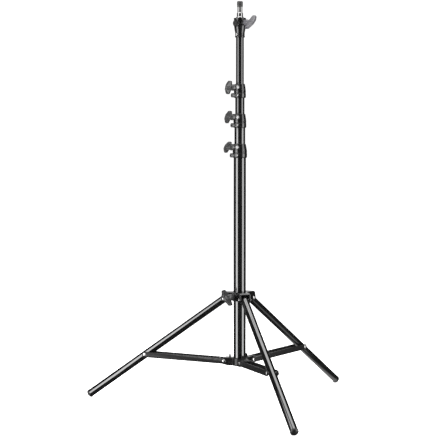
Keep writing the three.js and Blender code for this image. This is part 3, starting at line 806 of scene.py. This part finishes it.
def lower_spider():
    """The sleeve at the column's foot with its three arms."""
    profile = [
        (0, SPIDER_BOTTOM), (SPIDER_RADIUS, SPIDER_BOTTOM), (SPIDER_RADIUS, SPIDER_TOP), (0, SPIDER_TOP),
    ]
    hub = lathe("hub", profile, STAND, ROUND, soft=1.5)
    joined(hub, *[spider_arm(azimuth) for azimuth in LEG_AZIMUTHS.values()])
    drilled(hub, post(TUBE_RADII[0] + BORE_GAP, SPIDER_BOTTOM - 2, ARM_TOP + 2, STAND, ROUND))
    place_piece(cast(hub, "lower_spider", voxel=0.6, passes=5), "lower_spider", "casting_satin")


lower_spider()

# ---------------------------------------------------------------------------------------------------
# Upper collar
# ---------------------------------------------------------------------------------------------------


def collar_lug(azimuth):
    """A hood over a leg's head: rounded on top, open below and outward."""
    place = spoke(azimuth)
    outline = [(ARM_START, COLLAR_BOTTOM + 3), (PIVOT_RADIUS - EAR_RADIUS, COLLAR_BOTTOM + 1)]
    outline += arc(PIVOT_RADIUS, LEG_PIVOT_HEIGHT, EAR_RADIUS, 215, 355)
    outline += [(LUG_REACH, LUG_ROOF + 2.5), (LUG_REACH - 4, LUG_TOP), (ARM_START, LUG_TOP)]
    hood = slab("hood", outline, -EAR_OUTER, EAR_OUTER, place)
    section = bar_section(EAR_OUTER, COLLAR_BOTTOM - 12, LUG_TOP, 4)
    sideways = Matrix.Rotation(math.pi / 2, 4, "Z")  # the section's X and thickness become Y and X
    envelope = slab("envelope", section, -70, 70, place @ sideways)
    boolean(hood, "INTERSECT", [envelope])
    back_wall = PIVOT_RADIUS - math.hypot(LEG_HEAD, LEG_RADIUS) - 1
    mouth = bar_section(EAR_INNER, COLLAR_BOTTOM - 20, LUG_ROOF, 2)
    slot = slab("slot", mouth, -LUG_REACH - 10, -back_wall, place @ sideways)
    pin_hole = post(PIN_HOLE, -25, 25, place @ at(PIVOT_RADIUS, 0, LEG_PIVOT_HEIGHT) @ ALONG_Y)
    drilled(hood, slot)
    rounded(hood, 1.6)
    return drilled(hood, pin_hole)


def upper_collar():
    """The sliding sleeve with its knob's boss and a hooded lug for each leg."""
    profile = [
        (0, COLLAR_BOTTOM), (COLLAR_RADIUS - 3, COLLAR_BOTTOM), (COLLAR_RADIUS, COLLAR_BOTTOM + 3),
        (COLLAR_RADIUS, COLLAR_TOP), (0, COLLAR_TOP),
    ]
    sleeve = lathe("sleeve", profile, STAND, ROUND, soft=1)
    knob_place = spoke(COLLAR_KNOB_AZIMUTH, height=COLLAR_KNOB_HEIGHT) @ ALONG_X
    boss = post(COLLAR_BOSS_RADIUS, ARM_START, COLLAR_BOSS_REACH, knob_place)
    joined(sleeve, boss, *[collar_lug(azimuth) for azimuth in LEG_AZIMUTHS.values()])
    bore = post(COLLAR_BORE, COLLAR_BOTTOM - 2, LUG_TOP + 2, STAND, ROUND)
    drilled(sleeve, bore, post(PIN_HOLE, 20, COLLAR_BOSS_REACH + 2, knob_place))
    place_piece(cast(sleeve, "upper_collar", voxel=0.6, passes=5), "upper_collar", "casting_black")


upper_collar()
wing_knob(
    "collar_knob",
    spoke(COLLAR_KNOB_AZIMUTH, COLLAR_BOSS_REACH + GAP, COLLAR_KNOB_HEIGHT, COLLAR_KNOB_ROLL),
    "knob_black", **LARGE_KNOB,
)

# ---------------------------------------------------------------------------------------------------
# Legs and braces
# ---------------------------------------------------------------------------------------------------


def leg_tube(node, place, length, bolt_at):
    """A leg's tube, drilled across for its pivot and for the bush of its brace bolt."""
    profile = tube_profile(LEG_RADIUS, LEG_RADIUS - WALL, -LEG_HEAD, length - FOOT_RIM - GAP)
    tube = lathe(node, profile, place @ ALONG_X)
    pivot_hole = post(PIN_HOLE, -20, 20, place @ ALONG_Y, HOLE_ROUND)
    bolt_hole = post(PIN_HOLE + BUSH_WALL + GAP, -20, 20, place @ at(bolt_at, 0, 0) @ ALONG_Y, HOLE_ROUND)
    drilled(tube, pivot_hole, bolt_hole)
    shade(tube)
    place_piece(tube, node, "tube_black")


def foot_cap(node, place):
    """A rubber cap plugged into the leg: a rim against the tube's end and a domed tread."""
    rim = FOOT_CAP_RADIUS
    spigot = LEG_RADIUS - WALL - GAP
    dome = [
        (rim * math.cos(math.radians(a)), FOOT_DOME * math.sin(math.radians(a))) for a in range(6, 91, 7)
    ]
    profile = [(0, -FOOT_SPIGOT), (spigot, -FOOT_SPIGOT), (spigot, -FOOT_RIM), (rim, -FOOT_RIM), (rim, -1.2)]
    profile += [(rim - 0.7, -0.8), (rim - 0.7, -0.1), (rim - 0.1, 0.2)] + dome[:-1] + [(0, FOOT_DOME)]
    place_piece(lathe(node, profile, place @ ALONG_X, soft=0.5), node, "rubber")


def brace(node, place, length):
    """Two flat bars with round ends, joined by a bridge near the spider pivot."""
    half = BRACE_HALF_HEIGHT
    outline = arc(0, 0, half, 90, 270) + arc(length, 0, half, -90, 90)
    bars = []
    for low, high in ((BRACE_INNER, BRACE_OUTER), (-BRACE_OUTER, -BRACE_INNER)):
        bar = slab("bar", outline, low, high, place)
        holes = [post(PIN_HOLE, -25, 25, place @ at(x, 0, 0) @ ALONG_Y, HOLE_ROUND) for x in (0, length)]
        bars.append(rounded(drilled(bar, *holes), 0.35))
    bridge = rounded(block(BRACE_BRIDGE, (-BRACE_OUTER, BRACE_OUTER), (half - BRACE_WALL, half), place), 0.4)
    piece = joined(bars[0], bars[1], bridge)
    shade(piece, sharp=35)
    place_piece(piece, node, "brace_black")


def brace_bolt(node, place, side):
    """The leg bolt's domed head, outside one bar of the brace."""
    seat = BRACE_OUTER + GAP
    profile = [
        (0, BRACE_INNER), (PIN_RADIUS, BRACE_INNER), (PIN_RADIUS, seat), (6, seat), (6, seat + 0.9),
        (5.2, seat + 2), (3.4, seat + 2.8), (0, seat + 3),
    ]
    place_piece(lathe(node, profile, place @ ACROSS[side], SMALL_ROUND, soft=0.5), node, "steel_bright")


def brace_nut(node, place, side):
    """The leg bolt's nut with the bolt's end standing in it."""
    seat = BRACE_OUTER + GAP
    axis = place @ ACROSS[side]
    body = hex_post(6.5, seat, seat + 3.4, axis)
    cone = [(0, seat - 1), (7, seat - 1), (7, seat + 2.6), (5.4, seat + 3.5), (0, seat + 3.5)]
    boolean(body, "INTERSECT", [lathe("chamfer", cone, axis, SMALL_ROUND, soft=0)])
    shank_profile = [
        (0, BRACE_INNER), (PIN_RADIUS, BRACE_INNER), (PIN_RADIUS, seat + 3.7), (3.2, seat + 4), (0, seat + 4),
    ]
    shank = lathe("shank", shank_profile, axis, HOLE_ROUND, soft=0.2)
    piece = joined(body, shank)
    shade(piece, sharp=30)
    place_piece(piece, node, "steel_bright")


def leg(name):
    """A leg's tube, foot cap and brace with their rivets and bolt, placed from the CAD's own pivots."""
    pivot = middle(f"{name}_leg_rivet")
    bolt = middle(f"{name}_leg_bush")
    spider_pivot = middle(f"{name}_spider_rivet")
    leg_place = line_frame(pivot, bolt)
    brace_place = line_frame(spider_pivot, bolt)
    bolt_at = (bolt - pivot).length * 1000
    brace_length = (bolt - spider_pivot).length * 1000
    to_leg = leg_place.inverted()
    tip = max((to_leg @ v.co).x for v in frame["nodes"][f"{name}_foot_cap"].data.vertices)
    length = tip - FOOT_DOME
    leg_tube(f"{name}_leg_tube", leg_place, length, bolt_at)
    foot_cap(f"{name}_foot_cap", leg_place @ at(length, 0, 0))
    rivet(f"{name}_leg_rivet", leg_place, EAR_OUTER + GAP)
    brace(f"{name}_brace", brace_place, brace_length)
    rivet(f"{name}_spider_rivet", brace_place, BRACE_OUTER + GAP)
    bolt_place = brace_place @ at(brace_length, 0, 0)
    brace_bolt(f"{name}_brace_bolt", bolt_place, BOLT_SIDES[name])
    brace_nut(f"{name}_brace_nut", bolt_place, -BOLT_SIDES[name])


for leg_name in LEG_AZIMUTHS:
    leg(leg_name)

# ---------------------------------------------------------------------------------------------------
# Clamps
# ---------------------------------------------------------------------------------------------------


def clamp_painted_highlight(name, body, height, reach, radius):
    """A pale disc set in a clamp's round pad: a painted highlight."""
    place = spoke(CLAMP_PAD_AZIMUTH, height=height) @ ALONG_X
    profile = [
        (0, reach - 2), (radius, reach - 2), (radius, reach - 0.1), (radius - 0.6, reach), (0, reach + 0.15),
    ]
    highlight_disc = lathe(name, profile, place, SMALL_ROUND, soft=0.2)
    # pale paint that stands for the left softbox's highlight
    paint(highlight_disc, "painted_highlight_grey")
    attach(highlight_disc, body)


def clamp(number, body, radius, lip, knob, roll):
    """A clamp's body, painted highlight discs, bolt and wing knob. The lower tube ends in it and the riser
    runs through.
    """
    name = f"clamp_{number}"
    lower, riser = TUBE_RADII[number - 1:number + 1]
    bottom = heights(f"{name}_liner")[0] - CLAMP_LINER_BOTTOM
    place = spoke(CLAMP_KNOB_AZIMUTH, height=bottom)
    reach = radius + CLAMP_BOSS_PROUD
    shoulder = radius - 0.3 * (radius - lip)
    profile = [
        (0, 0), (radius - 1.6, 0), (radius, 3), (radius, 15), (radius - 0.8, 15.6), (radius - 0.8, 17),
        (radius, 17.6), (radius - 0.1, 21.5), (shoulder, 30), (lip + 0.4, CLAMP_HEIGHT - 3),
        (lip, CLAMP_HEIGHT - 1), (lip - 0.5, CLAMP_HEIGHT), (0, CLAMP_HEIGHT),
    ]
    shell = lathe("shell", profile, place, ROUND, soft=1.2)
    knob_axis = place @ at(0, 0, knob) @ ALONG_X
    bolt_axis = place @ at(0, 0, CLAMP_BOLT_HEIGHT) @ ALONG_X
    pinhole = spoke(CLAMP_PINHOLE["azimuth"], height=bottom + CLAMP_PINHOLE["height"]) @ ALONG_X
    pad_reach = radius + CLAMP_PAD_PROUD
    pads = [
        post(pad_radius, radius / 2, pad_reach, spoke(CLAMP_PAD_AZIMUTH, height=bottom + z) @ ALONG_X)
        for z, pad_radius in CLAMP_PADS
    ]
    joined(
        shell,
        post(CLAMP_KNOB_BOSS_RADIUS, BOSS_START, reach, knob_axis),
        post(CLAMP_BOLT_BOSS_RADIUS, BOSS_START, reach, bolt_axis),
        *pads,
    )
    drilled(
        shell,
        post(lower + BORE_GAP, -2, CLAMP_LINER_TOP, place, ROUND),
        post(riser + BORE_GAP, -2, CLAMP_HEIGHT + 2, place, ROUND),
        post(PIN_HOLE, lower, reach + 2, knob_axis),
        post(CLAMP_BOLT["shank"] + GAP, lower - 1, reach + 2, bolt_axis),
        post(CLAMP_PINHOLE["radius"], radius - 1.5, radius + 2, pinhole, PINHOLE_ROUND),
    )
    place_piece(cast(shell, f"{name}_body", voxel=0.5, passes=3), f"{name}_body", "casting_black")
    # each pad gets a pale disc, a painted highlight
    for index, (z, pad_radius) in enumerate(CLAMP_PADS):
        highlight_disc_name = f"{name}_disc_{index + 1}"
        clamp_painted_highlight(highlight_disc_name, body, bottom + z, pad_reach, pad_radius - CLAMP_HIGHLIGHT_MARGIN)
    bolt_place = place @ at(0, 0, CLAMP_BOLT_HEIGHT)
    screw(f"{name}_bolt", "casting_grey", bolt_place, tip=lower + 2 * GAP, seat=reach + GAP, **CLAMP_BOLT)
    knob_place = spoke(CLAMP_KNOB_AZIMUTH, reach + GAP, bottom + knob, roll)
    wing_knob(f"{name}_knob", knob_place, "knob_black", **SMALL_KNOB)


for settings in CLAMPS:
    clamp(**settings)

# ---------------------------------------------------------------------------------------------------
# Head and spigot
# ---------------------------------------------------------------------------------------------------


def head_casting():
    """The casting on the top riser: its bosses take the plug, the lever's screw and the fixing screw."""
    low, top = HEAD_BOTTOM, HEAD_TOP
    profile = [
        (0, low), (16, low), (16, low + 4), (15.2, low + 5), (15.4, low + 15), (17.6, low + 26),
        (18.9, low + 36), (19, top - 5), (19.8, top - 4), (19.8, top), (0, top),
    ]
    body = lathe("body", profile, STAND, ROUND, soft=0.8)
    plug_axis = spoke(HEAD_PLUG_AZIMUTH, height=HEAD_PLUG_HEIGHT) @ ALONG_X
    lever_axis = spoke(HEAD_LEVER_AZIMUTH, height=HEAD_LEVER_HEIGHT) @ ALONG_X
    screw_axis = spoke(HEAD_PLUG_AZIMUTH, height=HEAD_SCREW_HEIGHT) @ ALONG_X
    joined(
        body,
        post(HEAD_PLUG_BOSS_RADIUS, BOSS_START, HEAD_BOSS_REACH, plug_axis),
        post(HEAD_LEVER_BOSS_RADIUS, BOSS_START, HEAD_BOSS_REACH, lever_axis),
    )
    drilled(
        body,
        post(TUBE_RADII[-1] + BORE_GAP, low - 2, TOP_RISER_END + GAP, STAND, ROUND),
        post(HEAD_BORE, HEAD_BORE_BOTTOM, top + 2, STAND, ROUND),
        post(HEAD_PLUG_RADIUS + GAP, HEAD_PLUG_START - GAP, HEAD_BOSS_REACH + 2, plug_axis),
        post(PIN_HOLE, 6, HEAD_BOSS_REACH + 2, lever_axis),
        post(HEAD_SCREW["shank"] + GAP, TUBE_RADII[-1], 18, screw_axis),
    )
    place_piece(cast(body, "head_casting", voxel=0.5, passes=4), "head_casting", "casting_black")


def head_side_plug():
    """The plastic cup in the head's left boss."""
    place = spoke(HEAD_PLUG_AZIMUTH, height=HEAD_PLUG_HEIGHT) @ ALONG_X
    end = HEAD_BOSS_REACH + 0.6
    profile = [
        (0, HEAD_PLUG_START), (HEAD_PLUG_RADIUS, HEAD_PLUG_START), (HEAD_PLUG_RADIUS, end), (5.6, end),
        (5, end - 1.4), (0, end - 1.4),
    ]
    place_piece(lathe("head_side_plug", profile, place, soft=0.5), "head_side_plug", "plastic_black")


def spigot():
    """The turned stud: a stem in the head, a flange, a grooved body, the upper stem and the cap's core."""
    low = HEAD_BORE_BOTTOM + GAP
    seat = HEAD_TOP + GAP
    body = SPIGOT_BODY_TOP
    profile = [
        (0, low), (SPIGOT_RADIUS, low), (SPIGOT_RADIUS, seat), (12.2, seat), (12.2, seat + 2.2),
        (10.6, SPIGOT_SHOULDER), (10, SPIGOT_SHOULDER), (9.5, SPIGOT_SHOULDER + 0.8),
        (10, SPIGOT_SHOULDER + 1.6), (10, body), (SPIGOT_RADIUS, body + 2.4),
        (SPIGOT_RADIUS, SPIGOT_STEM_TOP), (SPIGOT_STUD_RADIUS, SPIGOT_STEM_TOP),
        (SPIGOT_STUD_RADIUS, SPIGOT_STUD_TOP), (0, SPIGOT_STUD_TOP),
    ]
    place_piece(lathe("spigot", profile, STAND, soft=0.35), "spigot", "spigot_metal")


def spigot_cap():
    """The plastic cap over the stud's end, hollow below."""
    low = SPIGOT_STEM_TOP + GAP
    top = SPIGOT_CAP_TOP - 0.02  # just inside the CAD box
    bore = SPIGOT_STUD_RADIUS + GAP
    outer = SPIGOT_CAP_RADIUS
    groove = outer - 0.4
    profile = [
        (bore, low), (outer, low), (outer, low + 2.6), (groove, low + 3), (groove, low + 3.8),
        (outer, low + 4.2), (outer, top - 3), (outer - 0.9, top - 0.9), (outer - 2.4, top),
        (0, top), (0, top - 4), (bore, top - 4), (bore, low),
    ]
    place_piece(lathe("spigot_cap", profile, STAND), "spigot_cap", "cap_grey")


head_casting()
head_side_plug()
screw("head_fixing_screw", "steel_bright", spoke(HEAD_PLUG_AZIMUTH, height=HEAD_SCREW_HEIGHT), **HEAD_SCREW)
wing_knob(
    "head_lever", spoke(HEAD_LEVER_AZIMUTH, HEAD_BOSS_REACH + GAP, HEAD_LEVER_HEIGHT, HEAD_LEVER_ROLL),
    "lever_grey", **HEAD_LEVER,
)
spigot()
spigot_cap()

# ---------------------------------------------------------------------------------------------------
# CAD nodes that stay as they are: liners, inner bushes and lock screws
# ---------------------------------------------------------------------------------------------------

for entry in frame["record"]["subparts"]:
    node_object = frame["nodes"][entry["node"]]
    if not node_object.hide_render:
        paint(node_object, entry["material_slot"])

# ---------------------------------------------------------------------------------------------------
# Floor, light and camera
# ---------------------------------------------------------------------------------------------------

CAMERA_PLACE = Vector((-1.37488, -4.18035, 0.74506))
CAMERA_HEADING = math.radians(-17.31)  # from +Y, anticlockwise
CAMERA_DROP = math.radians(3.45)  # below level
CAMERA_LENS = 112.24
WHITE = (1, 1, 1, 1)
FLOOR_GLOW = 1.1
SURROUND_WHITE = 1.05
SURROUND_DIM = 0.03
SOFTBOX_DISTANCE = 1.9
SOFTBOX_LOW = -0.7  # below the floor, so that the lowest parts reflect it too
SOFTBOX_SPLIT = 1.1  # the upper halves are dimmer
SOFTBOX_HIGH = 2.2
SOFTBOXES = [  # name, bearing, width, low, high, radiance
    ("left_softbox", -57, 36, SOFTBOX_LOW, SOFTBOX_SPLIT, 7.5),
    ("left_upper_softbox", -57, 36, SOFTBOX_SPLIT, SOFTBOX_HIGH, 4.5),
    ("right_softbox", 63, 36, SOFTBOX_LOW, SOFTBOX_SPLIT, 6),
    ("right_upper_softbox", 63, 36, SOFTBOX_SPLIT, SOFTBOX_HIGH, 4),
    ("right_floor_bounce", 75, 34, -3.5, -1, 0.7),  # only reflections see it through the floor
    ("back_softbox", 180, 40, SOFTBOX_LOW, SOFTBOX_HIGH, 1),
]
UP = Vector((0, 0, 1))
FLOOR_BOUNCE = Vector((0.5, 0.62, -0.32))  # below the right leg, and again seen only by reflections
FLOOR_BOUNCE_SIZE = (0.6, 0.86)
OVERHEAD = Vector((0, 0, 3))
OVERHEAD_SIZE = (2.6, 2.6)


def floor():
    """A pale lit floor with no seam. Reflections pass through it, so the pieces' undersides stay dark."""
    bpy.ops.mesh.primitive_circle_add(vertices=128, radius=60, fill_type="NGON")
    ground = bpy.context.active_object
    ground.name = "floor"
    ground.location.z = cad_box[0].z - 0.0002
    surface = Surface("floor", Roughness=0.9, Specular_IOR_Level=0)
    tone = surface.spread(surface.noise(3, detail=3), 0, 1)
    shade_of_white = surface.colours(tone, grey(0.93), grey(0.96))
    surface.set("Base Color", shade_of_white)
    surface.set("Emission Color", shade_of_white)
    surface.shader.inputs["Emission Strength"].default_value = FLOOR_GLOW
    ground.data.materials.append(surface.material)
    ground.visible_glossy = False


def area_light(name, place, aim, size, radiance):
    """A rectangular light aimed at a point. Its energy is set by the radiance of its face."""
    light = bpy.data.lights.new(name, "AREA")
    light.shape = "RECTANGLE"
    light.size, light.size_y = size
    light.energy = radiance * math.pi * size[0] * size[1]
    lamp = bpy.data.objects.new(name, light)
    bpy.context.scene.collection.objects.link(lamp)
    lamp.location = place
    lamp.rotation_euler = (aim - place).to_track_quat("-Z", "Y").to_euler()


def softbox(name, bearing, width, low, high, radiance):
    """A tall softbox that faces the column. bearing, from the camera's side, and width are in degrees."""
    side = math.atan2(CAMERA_PLACE.y, CAMERA_PLACE.x) + math.radians(bearing)
    place = Vector((SOFTBOX_DISTANCE * math.cos(side), SOFTBOX_DISTANCE * math.sin(side), (low + high) / 2))
    size = (2 * SOFTBOX_DISTANCE * math.tan(math.radians(width / 2)), high - low)
    area_light(name, place, Vector((0, 0, place.z)), size, radiance)


def world():
    """An even white surround behind the stand. Light and reflections see it dim, as in a flagged studio."""
    sky = bpy.data.worlds.new("surround")
    bpy.context.scene.world = sky
    sky.use_nodes = True
    tree = sky.node_tree
    tree.nodes.clear()
    path = tree.nodes.new("ShaderNodeLightPath")
    dim = tree.nodes.new("ShaderNodeBackground")
    bright = tree.nodes.new("ShaderNodeBackground")
    blend = tree.nodes.new("ShaderNodeMixShader")
    output = tree.nodes.new("ShaderNodeOutputWorld")
    dim.inputs["Color"].default_value = WHITE
    dim.inputs["Strength"].default_value = SURROUND_DIM
    bright.inputs["Color"].default_value = WHITE
    bright.inputs["Strength"].default_value = SURROUND_WHITE
    tree.links.new(path.outputs["Is Camera Ray"], blend.inputs[0])
    tree.links.new(dim.outputs[0], blend.inputs[1])
    tree.links.new(bright.outputs[0], blend.inputs[2])
    tree.links.new(blend.outputs[0], output.inputs["Surface"])


def camera():
    """The photograph's viewpoint, fitted to its edges."""
    data = bpy.data.cameras.new("camera")
    data.sensor_width = 36
    data.lens = CAMERA_LENS
    data.clip_end = 200
    viewer = bpy.data.objects.new("camera", data)
    bpy.context.scene.collection.objects.link(viewer)
    viewer.location = CAMERA_PLACE
    viewer.rotation_euler = (math.pi / 2 - CAMERA_DROP, 0, CAMERA_HEADING)
    bpy.context.scene.camera = viewer


floor()
for values in SOFTBOXES:
    softbox(*values)
area_light("floor_bounce", FLOOR_BOUNCE, FLOOR_BOUNCE + UP, FLOOR_BOUNCE_SIZE, radiance=1)
area_light("overhead_softbox", OVERHEAD, OVERHEAD - UP, OVERHEAD_SIZE, radiance=5)
world()
camera()
bpy.context.scene.view_settings.view_transform = "Standard"
